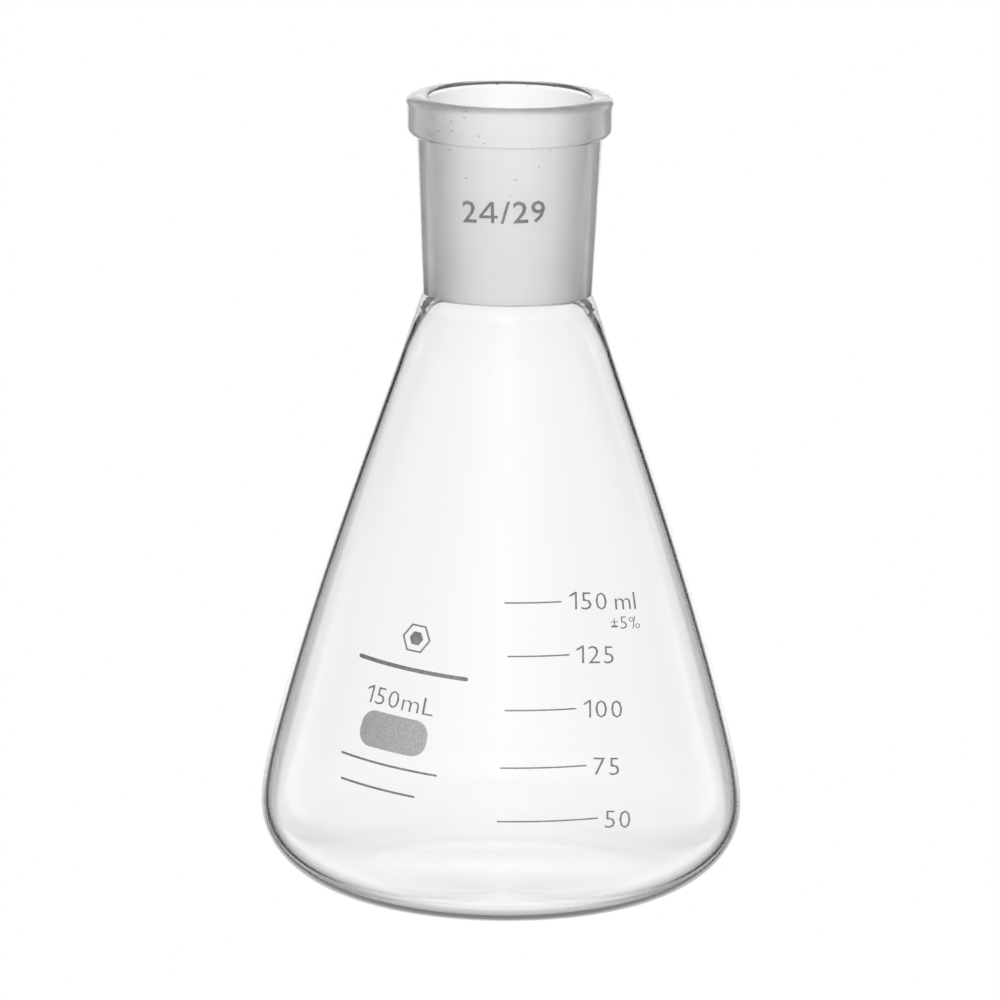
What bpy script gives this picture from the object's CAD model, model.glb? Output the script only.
"""Looks of the conical flask: clear vessel, ground socket, fired enamel, white studio."""

import math

import bmesh
import bpy
import numpy as np
from mathutils import Matrix, Vector
from mathutils.geometry import interpolate_bezier


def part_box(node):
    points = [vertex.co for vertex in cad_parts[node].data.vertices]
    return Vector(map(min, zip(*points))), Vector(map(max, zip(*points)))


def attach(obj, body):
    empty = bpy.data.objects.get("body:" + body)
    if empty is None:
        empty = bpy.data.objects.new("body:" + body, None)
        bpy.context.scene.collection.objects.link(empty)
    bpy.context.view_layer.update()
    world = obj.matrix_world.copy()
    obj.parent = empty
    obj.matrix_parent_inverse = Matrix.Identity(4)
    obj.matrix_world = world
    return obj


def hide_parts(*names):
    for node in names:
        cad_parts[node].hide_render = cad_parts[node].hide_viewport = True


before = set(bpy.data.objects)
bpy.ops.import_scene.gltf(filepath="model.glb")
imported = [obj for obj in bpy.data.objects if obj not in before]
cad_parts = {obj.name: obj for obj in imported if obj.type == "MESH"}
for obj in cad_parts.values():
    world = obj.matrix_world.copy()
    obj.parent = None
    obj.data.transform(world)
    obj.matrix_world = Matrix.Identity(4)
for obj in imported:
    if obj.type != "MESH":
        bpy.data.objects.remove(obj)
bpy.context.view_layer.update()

MM = 0.001
BODY = "root"

# Places that come from the frame ------------------------------------------------------

VESSEL_LOW, VESSEL_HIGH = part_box("flask_body")
SOCKET_LOW, SOCKET_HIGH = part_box("ground_socket")
BELLY_RADIUS = (VESSEL_HIGH.x - VESSEL_LOW.x) / 2
BEAD_RADIUS = (SOCKET_HIGH.x - SOCKET_LOW.x) / 2
BEAD_CREST = SOCKET_HIGH.z
SEAM_HEIGHT = (VESSEL_HIGH.z + SOCKET_LOW.z) / 2

# Sizes of the fine glass -------------------------------------------------------------

SEAM_OVERLAP = 0.01 * MM        # the fused seam: no air between socket and vessel

GROUND_LENGTH = 29.0 * MM
BORE_RADIUS = 12.0 * MM         # at the wide end of the ground bore
BORE_SLOPE = 0.05               # change of radius per length
SOCKET_WALL = 1.85 * MM
BORE_TOP = SEAM_HEIGHT + GROUND_LENGTH

BEAD_DEPTH = 6.0 * MM           # from the crest to the underside
BEAD_TOP_ROUND = 1.7 * MM       # width of the round outside the crest
BEAD_TOP_DEPTH = 1.15 * MM      # depth of that round, down to a faint crease
CREASE_WIDTH = 0.12 * MM
CREASE_DEPTH = 0.25 * MM
BEAD_TUCK = 0.25 * MM           # how much narrower the bead is near its underside
BEAD_LOWER_ROUND = 1.2 * MM
UNDERSIDE_SLOPE = 0.3 * MM      # drop of the underside from the bead to the tube
LIP_ROUND = 0.8 * MM            # height of the round from the crest into the bore

NECK_RADIUS = 12.4 * MM
FOOT_OUTER_RADIUS = 19.5 * MM
FOOT_INNER_RADIUS = 16.5 * MM
PUNT_HEIGHT = 0.5 * MM          # how far the middle of the base is pushed up
BELLY_HEIGHT = 13.1 * MM

# Outside of the vessel: where its curves meet, and the Bezier handles between.
CONE_TOP = (13.7 * MM, 86.0 * MM)
CONE_END = (32.55 * MM, 28.0 * MM)
NECK_HANDLES = ((12.95 * MM, 88.9 * MM), (13.3 * MM, 87.2 * MM))
CONE_HANDLES = ((20.35 * MM, 66.7 * MM), (27.4 * MM, 47.3 * MM))
SHOULDER_HANDLES = ((33.95 * MM, 22.8 * MM), (BELLY_RADIUS, 17.0 * MM))
HEEL_HANDLES = ((BELLY_RADIUS, 4.1 * MM), (25.6 * MM, 0.0))
BASE_HANDLES = ((11.0 * MM, 0.0), (8.0 * MM, PUNT_HEIGHT))

CONE_WALL = 0.78 * MM           # glass thickness of the thin part of the vessel
HEEL_EXTRA = 0.45 * MM          # how much thicker the base is
HEEL_FADE = 9.0 * MM            # height over which that extra dies away
THROAT_RADIUS = 11.75 * MM      # inside, straight for a short way under the socket
THROAT_STEP = 0.25 * MM         # depth of the step from the bore out to the throat
THROAT_LOW = 87.2 * MM          # the inside flares from here...
THROAT_END = 83.2 * MM          # ...down to the thin wall of the cone
FLARE_START = (0.35 * MM, 0.6 * MM)     # how far out and down the flare first heads
FLARE_END_REACH = 1.0 * MM      # how far up the wall the flare joins it straight

TURN_STEPS = 256
MERGE_DISTANCE = 0.0005 * MM
SHARP_EDGE = math.radians(40.0)
GROUND_BAND = 5.0 * MM          # only the ground bore has a band longer than this inside

# Surface patterns. A scale is in cells per metre; a stretch multiplies it along each axis.
GLASS_INDEX = 1.473             # refractive index of borosilicate glass

WAVE_HEIGHT = 0.003 * MM
WAVE_SCALE = 70.0
WAVE_STRETCH = (1.0, 1.0, 0.6)

BEAD_ROUGHNESS = 0.02
DRAW_LINE_HEIGHT = 0.01 * MM
DRAW_LINE_SCALE = 90.0
DRAW_LINE_STRETCH = (1.0, 1.0, 12.0)
SEED_SCALE = 420.0
SEED_STRETCH = (1.0, 1.0, 2.2)
SEED_SHADE = ((0.09, 0.45), (0.15, 1.0))    # (distance from the seed's middle, grey)
SEED_GROUP_SCALE = 160.0
SEED_KEPT = ((0.44, 1.0), (0.48, 0.0))      # no seeds where the group noise is low
SEED_LOW = 103.0 * MM           # no seeds in the glass below this height
SEED_HIGH = 110.0 * MM          # all of them above this one

EVEN = (1.0, 1.0, 1.0)
GRAIN_STOPS = (0.3, 0.7)        # the noise values that give the two ends of the grain
GROUND_SCALE = 2500.0
GROUND_STRETCH = (1.0, 1.0, 3.0)
GROUND_ROUGHNESS = (0.58, 0.7)
GROUND_THROUGH = 0.7            # share of the light that goes through the ground surface
GROUND_DARKEST = 0.97           # darkest grain of the ground surface
# Seen through the glass at a slant, the ground surface loses light: (slant, grey).
GROUND_SHADE = ((0.0, 1.0), (0.08, 0.98), (0.22, 0.72), (0.3, 0.56), (0.4, 0.5), (1.0, 0.48))

ENAMEL_GRAIN_HEIGHT = 0.02 * MM
ENAMEL_STOPS = (0.38, 0.62)
ENAMEL_ROUGHNESS = 0.5
MARK_ENAMEL = (1200.0, 0.13, 0.18)      # grain scale, dark grey, light grey
SPOT_ENAMEL = (5000.0, 0.24, 0.34)

FILM_GAP = 0.01 * MM            # between the glass and its enamel
FILM_THICKNESS = 0.05 * MM

# Camera, bench and light paths --------------------------------------------------------

CAMERA_ELEVATION = math.radians(11.46)
CAMERA_ROLL = math.radians(0.73)
CAMERA_DISTANCE = 1.199
CAMERA_TARGET = (-0.72 * MM, 0.0, 58.4 * MM)
CAMERA_SENSOR = 36.0            # width of the sensor, in millimetres
CAMERA_LENS = 293.0             # focal length, in millimetres
CAMERA_REACH = 10.0
BENCH_SIZE = 6.0
BENCH_DROP = 0.05 * MM          # the bench lies this far under the glass
GLASS_BOUNCES = 32              # most surfaces a ray may pass or bounce off
OTHER_BOUNCES = 16


# Outlines: lists of (radius, height) points -------------------------------------------

def bezier(start, start_handle, end_handle, end, pieces):
    """Points of a Bezier curve in the (radius, height) plane."""
    corners = [Vector((*point, 0.0)) for point in (start, start_handle, end_handle, end)]
    points = interpolate_bezier(*corners, pieces + 1)
    return [(point.x, point.y) for point in points]


def arc(center, radii, start_degrees, end_degrees, pieces):
    """Points along an elliptical arc, 0 degrees pointing away from the axis."""
    angles = np.radians(np.linspace(start_degrees, end_degrees, pieces + 1))
    return [
        (center[0] + radii[0] * math.cos(angle), center[1] + radii[1] * math.sin(angle))
        for angle in angles
    ]


def bore_radius(height):
    """Radius of the ground bore."""
    return BORE_RADIUS - (BORE_TOP - height) * BORE_SLOPE


def vessel_outline():
    """Outside of the vessel, from the neck down to the middle of the base."""
    neck = (NECK_RADIUS, SEAM_HEIGHT + SEAM_OVERLAP / 2)
    belly = (BELLY_RADIUS, BELLY_HEIGHT)
    foot = (FOOT_OUTER_RADIUS, 0.0)
    foot_inside = (FOOT_INNER_RADIUS, 0.0)
    punt = (0.0, PUNT_HEIGHT)
    flare = bezier(neck, *NECK_HANDLES, CONE_TOP, 12)
    cone = bezier(CONE_TOP, *CONE_HANDLES, CONE_END, 24)
    shoulder = bezier(CONE_END, *SHOULDER_HANDLES, belly, 14)
    heel = bezier(belly, *HEEL_HANDLES, foot, 30)
    base = bezier(foot_inside, *BASE_HANDLES, punt, 16)
    return flare + cone[1:] + shoulder[1:] + heel[1:] + base


def wall_thickness(height):
    """Glass thickness of the cone and the base at a height."""
    return CONE_WALL + HEEL_EXTRA * np.exp(-height / HEEL_FADE)


def inner_outline(outline):
    """Inside of the vessel: a straight throat, a flare, then an even wall."""
    points = np.array([point for point in outline if point[1] < THROAT_END])
    along = np.gradient(points, axis=0)
    along /= np.linalg.norm(along, axis=1)[:, None]
    along[-1] = (-1.0, 0.0)
    inward = np.column_stack((along[:, 1], -along[:, 0]))
    inside = points + inward * wall_thickness(points[:, 1])[:, None]
    seam = outline[0][1]
    throat_top = (THROAT_RADIUS, seam - THROAT_STEP)
    throat_low = (THROAT_RADIUS, THROAT_LOW)
    flare_start = (THROAT_RADIUS + FLARE_START[0], THROAT_LOW - FLARE_START[1])
    flare_end = tuple(inside[0] - along[0] * FLARE_END_REACH)
    flare = bezier(throat_low, flare_start, flare_end, tuple(inside[0]), 12)
    throat = [(bore_radius(seam), seam), throat_top]
    return throat + flare + [tuple(point) for point in inside[1:]]


def socket_outside():
    """Outside of the socket, from the crest of the bead down to the seam."""
    crest_center = (BEAD_RADIUS - BEAD_TOP_ROUND, BEAD_CREST - BEAD_TOP_DEPTH)
    crease = (BEAD_RADIUS - CREASE_WIDTH, crest_center[1] - CREASE_DEPTH)
    lower_radius = BEAD_RADIUS - BEAD_TUCK
    underside = BEAD_CREST - BEAD_DEPTH
    lower_center = (lower_radius - BEAD_LOWER_ROUND, underside + BEAD_LOWER_ROUND)
    crest = arc(crest_center, (BEAD_TOP_ROUND, BEAD_TOP_DEPTH), 90, 0, 14)
    lower = arc(lower_center, (BEAD_LOWER_ROUND, BEAD_LOWER_ROUND), 0, -90, 10)
    tube_top = (bore_radius(underside) + SOCKET_WALL, underside - UNDERSIDE_SLOPE)
    tube_end_height = SEAM_HEIGHT - SEAM_OVERLAP / 2
    tube_end = (bore_radius(tube_end_height) + SOCKET_WALL, tube_end_height)
    return crest + [crease] + lower + [tube_top, tube_end]


# Glass -------------------------------------------------------------------------------

def turn(name, outline, materials, material_of):
    """Turn a closed outline about the axis. material_of(low, high) picks a slot per band."""
    angles = np.linspace(0.0, 2 * math.pi, TURN_STEPS, endpoint=False)
    points = [
        (radius * math.cos(angle), radius * math.sin(angle), height)
        for radius, height in outline
        for angle in angles
    ]
    faces = []
    slots = []
    for ring in range(len(outline)):
        following = (ring + 1) % len(outline)
        if outline[ring][0] == 0.0 and outline[following][0] == 0.0:
            continue
        slot = material_of(outline[ring], outline[following])
        for step in range(TURN_STEPS):
            beside = (step + 1) % TURN_STEPS
            faces.append((
                ring * TURN_STEPS + step,
                following * TURN_STEPS + step,
                following * TURN_STEPS + beside,
                ring * TURN_STEPS + beside,
            ))
            slots.append(slot)
    mesh = bpy.data.meshes.new(name)
    mesh.from_pydata(points, [], faces)
    for material in materials:
        mesh.materials.append(material)
    mesh.polygons.foreach_set("material_index", slots)
    shape = bmesh.new()
    shape.from_mesh(mesh)
    bmesh.ops.remove_doubles(shape, verts=shape.verts, dist=MERGE_DISTANCE)
    bmesh.ops.recalc_face_normals(shape, faces=shape.faces)
    shape.to_mesh(mesh)
    shape.free()
    mesh.shade_smooth()
    mesh.set_sharp_from_angle(angle=SHARP_EDGE)
    piece = bpy.data.objects.new(name, mesh)
    bpy.context.scene.collection.objects.link(piece)
    return piece


def make_vessel(glass):
    """The blown vessel, its wall thickest at the heel."""
    outside = vessel_outline()
    inside = inner_outline(outside)
    inside.reverse()
    vessel = turn("vessel", inside + outside, [glass], lambda low, high: 0)
    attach(vessel, BODY)
    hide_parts("flask_body")
    return vessel


def make_socket(glass, ground):
    """The socket: clear outside and on the bead, ground in the bore."""
    outside = socket_outside()
    bottom = outside[-1][1]
    lip_height = BEAD_CREST - LIP_ROUND
    lip_width = outside[0][0] - bore_radius(lip_height)
    lip = arc((outside[0][0], lip_height), (lip_width, LIP_ROUND), 180, 90, 10)
    outline = outside + [(bore_radius(bottom), bottom)] + lip[:-1]

    def material_of(start, end):
        rising = end[1] - start[1] > GROUND_BAND
        return 1 if rising and start[0] < NECK_RADIUS else 0

    socket = turn("socket", outline, [glass, ground], material_of)
    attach(socket, BODY)
    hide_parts("ground_socket")
    return socket


# Enamel ------------------------------------------------------------------------------

def nearest_on_outline(outline, radius, height):
    """The nearest point of an outline, the outward normal there and the distance."""
    point = Vector((radius, height))
    best = None
    for start, end in zip(outline, outline[1:]):
        start = Vector(start)
        edge = Vector(end) - start
        if edge.length == 0.0:
            continue
        share = min(1.0, max(0.0, (point - start).dot(edge) / edge.length_squared))
        foot = start + edge * share
        distance = (point - foot).length
        if best is None or distance < best[2]:
            best = (foot, Vector((-edge.y, edge.x)).normalized(), distance)
    return best


def seat_on_glass(node, outline, material):
    """A thin film of enamel in the shape of a CAD mark, lying on the fine glass."""
    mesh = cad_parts[node].data.copy()
    feet = []
    for vertex in mesh.vertices:
        radius = math.hypot(vertex.co.x, vertex.co.y)
        feet.append((vertex, radius, *nearest_on_outline(outline, radius, vertex.co.z)))
    distances = [foot[4] for foot in feet]
    middle = (min(distances) + max(distances)) / 2
    for vertex, radius, foot, normal, distance in feet:
        lift = FILM_GAP if distance < middle else FILM_GAP + FILM_THICKNESS
        target = foot + normal * lift
        vertex.co.x *= target.x / radius
        vertex.co.y *= target.x / radius
        vertex.co.z = target.y
    mesh.materials.clear()
    mesh.materials.append(material)
    film = bpy.data.objects.new(f"{node}_film", mesh)
    bpy.context.scene.collection.objects.link(film)
    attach(film, BODY)
    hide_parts(node)
    return film


def make_marks(enamel, spot_enamel):
    """Every enamel mark of the CAD, as a film on the vessel or the socket."""
    vessel = vessel_outline()
    socket = socket_outside()
    for node in sorted(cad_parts):
        if node in ("flask_body", "ground_socket"):
            continue
        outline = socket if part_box(node)[0].z > SEAM_HEIGHT else vessel
        seat_on_glass(node, outline, spot_enamel if node == "writing_spot" else enamel)


# Materials ---------------------------------------------------------------------------

def principled(name):
    """A new material and its Principled node."""
    material = bpy.data.materials.new(name)
    material.use_nodes = True
    return material, material.node_tree.nodes["Principled BSDF"]


def texture_place(nodes, links, scale):
    """Object coordinates, in metres, scaled along each axis."""
    place = nodes.new("ShaderNodeTexCoord")
    mapping = nodes.new("ShaderNodeMapping")
    mapping.inputs["Scale"].default_value = scale
    links.new(place.outputs["Object"], mapping.inputs["Vector"])
    return mapping.outputs["Vector"]


def noise_pattern(nodes, links, vector, scale, detail):
    """Noise between 0 and 1."""
    noise = nodes.new("ShaderNodeTexNoise")
    noise.inputs["Scale"].default_value = scale
    noise.inputs["Detail"].default_value = detail
    links.new(vector, noise.inputs["Vector"])
    return noise.outputs["Fac"]


def value_ramp(nodes, links, value, stops):
    """Map a value through grey stops: (position, grey) pairs."""
    ramp = nodes.new("ShaderNodeValToRGB")
    elements = ramp.color_ramp.elements
    while len(elements) < len(stops):
        elements.new(0.5)
    for element, (position, grey) in zip(elements, stops):
        element.position = position
        element.color = (grey, grey, grey, 1.0)
    links.new(value, ramp.inputs["Fac"])
    return ramp.outputs["Color"]


def add_bump(nodes, links, shader, height, distance):
    """Bump a shader's normal. distance is the height of the highest bumps in metres."""
    bump = nodes.new("ShaderNodeBump")
    bump.inputs["Distance"].default_value = distance
    links.new(height, bump.inputs["Height"])
    links.new(bump.outputs["Normal"], shader.inputs["Normal"])


def height_ramp(nodes, links, low, high):
    """1 below the low height, 0 above the high one."""
    place = nodes.new("ShaderNodeTexCoord")
    parts = nodes.new("ShaderNodeSeparateXYZ")
    share = nodes.new("ShaderNodeMapRange")
    share.inputs["From Min"].default_value = low
    share.inputs["From Max"].default_value = high
    share.inputs["To Min"].default_value = 1.0
    share.inputs["To Max"].default_value = 0.0
    links.new(place.outputs["Object"], parts.inputs["Vector"])
    links.new(parts.outputs["Z"], share.inputs["Value"])
    return share.outputs["Result"]


def lighten(nodes, links, first, second):
    """The lighter of two greys."""
    mix = nodes.new("ShaderNodeMix")
    mix.data_type = "RGBA"
    mix.blend_type = "LIGHTEN"
    mix.inputs["Factor"].default_value = 1.0
    links.new(first, mix.inputs["A"])
    links.new(second, mix.inputs["B"])
    return mix.outputs["Result"]


def darken(nodes, links, share, first, second):
    """One grey times another, where the share is 1."""
    mix = nodes.new("ShaderNodeMix")
    mix.data_type = "RGBA"
    mix.blend_type = "MULTIPLY"
    links.new(share, mix.inputs["Factor"])
    links.new(first, mix.inputs["A"])
    links.new(second, mix.inputs["B"])
    return mix.outputs["Result"]


def set_glass(shader, roughness):
    """Borosilicate glass."""
    shader.inputs["Base Color"].default_value = (1.0, 1.0, 1.0, 1.0)
    shader.inputs["Roughness"].default_value = roughness
    shader.inputs["Transmission Weight"].default_value = 1.0
    shader.inputs["IOR"].default_value = GLASS_INDEX


def clear_glass():
    """Clear blown glass, its surface a little wavy."""
    material, shader = principled("clear_glass")
    nodes = material.node_tree.nodes
    links = material.node_tree.links
    set_glass(shader, 0.0)
    place = texture_place(nodes, links, WAVE_STRETCH)
    waves = noise_pattern(nodes, links, place, WAVE_SCALE, 0.0)
    add_bump(nodes, links, shader, waves, WAVE_HEIGHT)
    return material


def bead_glass():
    """Clear tooled glass with draw lines and sparse seeds."""
    material, shader = principled("bead_glass")
    nodes = material.node_tree.nodes
    links = material.node_tree.links
    set_glass(shader, BEAD_ROUGHNESS)
    rings = texture_place(nodes, links, DRAW_LINE_STRETCH)
    lines = noise_pattern(nodes, links, rings, DRAW_LINE_SCALE, 2.0)
    add_bump(nodes, links, shader, lines, DRAW_LINE_HEIGHT)
    cells = nodes.new("ShaderNodeTexVoronoi")
    cells.inputs["Scale"].default_value = SEED_SCALE
    links.new(texture_place(nodes, links, SEED_STRETCH), cells.inputs["Vector"])
    seeds = value_ramp(nodes, links, cells.outputs["Distance"], SEED_SHADE)
    place = texture_place(nodes, links, EVEN)
    groups = noise_pattern(nodes, links, place, SEED_GROUP_SCALE, 0.0)
    keep = value_ramp(nodes, links, groups, SEED_KEPT)
    color = lighten(nodes, links, seeds, keep)
    below = height_ramp(nodes, links, SEED_LOW, SEED_HIGH)
    links.new(lighten(nodes, links, color, below), shader.inputs["Base Color"])
    return material


def ground_glass():
    """The finely ground bore."""
    material, shader = principled("ground_glass")
    nodes = material.node_tree.nodes
    links = material.node_tree.links
    set_glass(shader, GROUND_ROUGHNESS[0])
    shader.inputs["Transmission Weight"].default_value = GROUND_THROUGH
    place = texture_place(nodes, links, GROUND_STRETCH)
    grain = noise_pattern(nodes, links, place, GROUND_SCALE, 2.0)
    speckle = value_ramp(nodes, links, grain, tuple(zip(GRAIN_STOPS, (GROUND_DARKEST, 1.0))))
    slant = nodes.new("ShaderNodeLayerWeight")
    shade = value_ramp(nodes, links, slant.outputs["Facing"], GROUND_SHADE)
    side = nodes.new("ShaderNodeNewGeometry")
    greys = darken(nodes, links, side.outputs["Backfacing"], speckle, shade)
    frost = value_ramp(nodes, links, grain, tuple(zip(GRAIN_STOPS, GROUND_ROUGHNESS)))
    links.new(greys, shader.inputs["Base Color"])
    links.new(frost, shader.inputs["Roughness"])
    return material


def grey_enamel(name, grain_scale, dark, light):
    """Fired enamel, mottled between two greys."""
    material, shader = principled(name)
    nodes = material.node_tree.nodes
    links = material.node_tree.links
    place = texture_place(nodes, links, EVEN)
    grain = noise_pattern(nodes, links, place, grain_scale, 3.0)
    greys = value_ramp(nodes, links, grain, tuple(zip(ENAMEL_STOPS, (dark, light))))
    links.new(greys, shader.inputs["Base Color"])
    shader.inputs["Roughness"].default_value = ENAMEL_ROUGHNESS
    add_bump(nodes, links, shader, grain, ENAMEL_GRAIN_HEIGHT)
    return material


# Studio ------------------------------------------------------------------------------

# Brightness of the white surroundings against the angle sideways from the view direction,
# and a factor on it against the angle upwards.
SIDEWAYS_FIELD = (
    (-180, 0.95), (-125, 0.45), (-75, 0.4), (-52, 0.9), (-45, 0.9), (-41, 0.3), (-37, 0.02),
    (-19.5, 0.01), (-17.5, 1.0), (17.5, 1.0), (19.5, 0.01), (37, 0.02), (41, 0.3), (45, 0.9),
    (52, 0.9), (75, 0.4), (125, 0.45), (180, 0.95),
)
UPWARD_FIELD = (
    (-90, 0.6), (-46, 0.6), (-38, 0.12), (-20, 0.12), (-18, 1.0), (24, 1.0), (38, 0.35), (90, 0.3),
)

# The same where a ray meets the bench beside the flask, which is lit all over.
BENCH_FIELD = (
    (-90, 0.85), (-36, 0.9), (-29, 0.75), (-20, 0.75), (-18, 1.0), (24, 1.0), (38, 0.35), (90, 0.3),
)
BENCH_NEAR = 60.0 * MM          # lit all over up to here from the flask's axis...
BENCH_FAR = 110.0 * MM          # ...and like the rest of the studio from here

# The same for light that frosting or enamel has scattered: no sharp dark bands.
SCATTERED_FIELD = (
    (-180, 3.4), (-115, 0.05), (-60, 0.1), (-20, 3.6), (20, 3.6), (60, 0.1), (115, 0.05), (180, 3.4),
)


def angle_ramp(nodes, links, angle, field):
    """Brightness against an angle in radians, from (degrees, brightness) pairs."""
    share = nodes.new("ShaderNodeMapRange")
    share.inputs["From Min"].default_value = -math.pi
    share.inputs["From Max"].default_value = math.pi
    links.new(angle, share.inputs["Value"])
    stops = [((degrees + 180.0) / 360.0, brightness) for degrees, brightness in field]
    return value_ramp(nodes, links, share.outputs["Result"], stops)


def bright_field_group():
    """Node group: ray direction and nearness to the flask in, brightness of the studio out."""
    group = bpy.data.node_groups.new("bright_field", "ShaderNodeTree")
    group.interface.new_socket("Direction", in_out="INPUT", socket_type="NodeSocketVector")
    group.interface.new_socket("Nearness", in_out="INPUT", socket_type="NodeSocketFloat")
    group.interface.new_socket("Brightness", in_out="OUTPUT", socket_type="NodeSocketFloat")
    nodes = group.nodes
    links = group.links
    start = nodes.new("NodeGroupInput")
    end = nodes.new("NodeGroupOutput")
    to_camera = nodes.new("ShaderNodeVectorTransform")
    to_camera.vector_type = "VECTOR"
    to_camera.convert_from = "WORLD"
    to_camera.convert_to = "CAMERA"
    parts = nodes.new("ShaderNodeSeparateXYZ")
    sideways = nodes.new("ShaderNodeMath")
    sideways.operation = "ARCTAN2"
    upwards = nodes.new("ShaderNodeMath")
    upwards.operation = "ARCSINE"
    links.new(start.outputs["Direction"], to_camera.inputs["Vector"])
    links.new(to_camera.outputs["Vector"], parts.inputs["Vector"])
    links.new(parts.outputs["X"], sideways.inputs[0])
    links.new(parts.outputs["Z"], sideways.inputs[1])
    links.new(parts.outputs["Y"], upwards.inputs[0])
    field = nodes.new("ShaderNodeMath")
    field.operation = "MULTIPLY"
    links.new(angle_ramp(nodes, links, sideways.outputs["Value"], SIDEWAYS_FIELD), field.inputs[0])
    height = nodes.new("ShaderNodeMix")
    links.new(start.outputs["Nearness"], height.inputs["Factor"])
    links.new(angle_ramp(nodes, links, upwards.outputs["Value"], UPWARD_FIELD), height.inputs["A"])
    links.new(angle_ramp(nodes, links, upwards.outputs["Value"], BENCH_FIELD), height.inputs["B"])
    links.new(height.outputs["Result"], field.inputs[1])
    rays = nodes.new("ShaderNodeLightPath")
    scattered = nodes.new("ShaderNodeMath")
    scattered.operation = "GREATER_THAN"
    scattered.inputs[1].default_value = 0.5
    links.new(rays.outputs["Diffuse Depth"], scattered.inputs[0])
    soft = angle_ramp(nodes, links, sideways.outputs["Value"], SCATTERED_FIELD)
    mix = nodes.new("ShaderNodeMix")
    links.new(scattered.outputs["Value"], mix.inputs["Factor"])
    links.new(field.outputs["Value"], mix.inputs["A"])
    links.new(soft, mix.inputs["B"])
    links.new(mix.outputs["Result"], end.inputs["Brightness"])
    return group


def make_world(group):
    """White surroundings."""
    world = bpy.data.worlds.new("studio")
    world.use_nodes = True
    nodes = world.node_tree.nodes
    links = world.node_tree.links
    field = nodes.new("ShaderNodeGroup")
    field.node_tree = group
    direction = nodes.new("ShaderNodeTexCoord")
    links.new(direction.outputs["Generated"], field.inputs["Direction"])
    links.new(field.outputs["Brightness"], nodes["Background"].inputs["Strength"])
    nodes["Background"].inputs["Color"].default_value = (1.0, 1.0, 1.0, 1.0)
    bpy.context.scene.world = world


def make_floor(group):
    """White bench top that melts into the surroundings."""
    bpy.ops.mesh.primitive_plane_add(size=BENCH_SIZE, location=(0.0, 0.0, -BENCH_DROP))
    floor = bpy.context.object
    floor.name = "bench"
    material = bpy.data.materials.new("bench")
    material.use_nodes = True
    nodes = material.node_tree.nodes
    links = material.node_tree.links
    nodes.remove(nodes["Principled BSDF"])
    field = nodes.new("ShaderNodeGroup")
    field.node_tree = group
    geometry = nodes.new("ShaderNodeNewGeometry")
    forwards = nodes.new("ShaderNodeVectorMath")
    forwards.operation = "SCALE"
    forwards.inputs["Scale"].default_value = -1.0
    reach = nodes.new("ShaderNodeVectorMath")
    reach.operation = "LENGTH"
    nearness = nodes.new("ShaderNodeMapRange")
    nearness.inputs["From Min"].default_value = BENCH_FAR
    nearness.inputs["From Max"].default_value = BENCH_NEAR
    glow = nodes.new("ShaderNodeEmission")
    links.new(geometry.outputs["Position"], reach.inputs[0])
    links.new(reach.outputs["Value"], nearness.inputs["Value"])
    links.new(nearness.outputs["Result"], field.inputs["Nearness"])
    links.new(geometry.outputs["Incoming"], forwards.inputs[0])
    links.new(forwards.outputs["Vector"], field.inputs["Direction"])
    links.new(field.outputs["Brightness"], glow.inputs["Strength"])
    links.new(glow.outputs["Emission"], nodes["Material Output"].inputs["Surface"])
    floor.data.materials.append(material)


def make_camera():
    """Long lens, slightly above the flask, tipped a little."""
    back = Vector((0.0, -math.cos(CAMERA_ELEVATION), math.sin(CAMERA_ELEVATION)))
    data = bpy.data.cameras.new("camera")
    data.sensor_width = CAMERA_SENSOR
    data.lens = CAMERA_LENS
    data.clip_end = CAMERA_REACH
    camera = bpy.data.objects.new("camera", data)
    bpy.context.scene.collection.objects.link(camera)
    camera.location = Vector(CAMERA_TARGET) + back * CAMERA_DISTANCE
    facing = (-back).to_track_quat("-Z", "Y").to_matrix().to_4x4()
    camera.matrix_world = (
        Matrix.Translation(camera.location) @ facing @ Matrix.Rotation(CAMERA_ROLL, 4, "Z")
    )
    bpy.context.scene.camera = camera


def set_light_transport():
    """Enough bounces for four glass walls, and colours shown as they are."""
    scene = bpy.context.scene
    scene.cycles.max_bounces = GLASS_BOUNCES
    scene.cycles.transmission_bounces = GLASS_BOUNCES
    scene.cycles.glossy_bounces = OTHER_BOUNCES
    scene.cycles.diffuse_bounces = OTHER_BOUNCES
    scene.view_settings.view_transform = "Standard"


def main():
    make_vessel(clear_glass())
    make_socket(bead_glass(), ground_glass())
    make_marks(grey_enamel("grey_enamel", *MARK_ENAMEL), grey_enamel("spot_enamel", *SPOT_ENAMEL))
    group = bright_field_group()
    make_world(group)
    make_floor(group)
    make_camera()
    set_light_transport()


main()
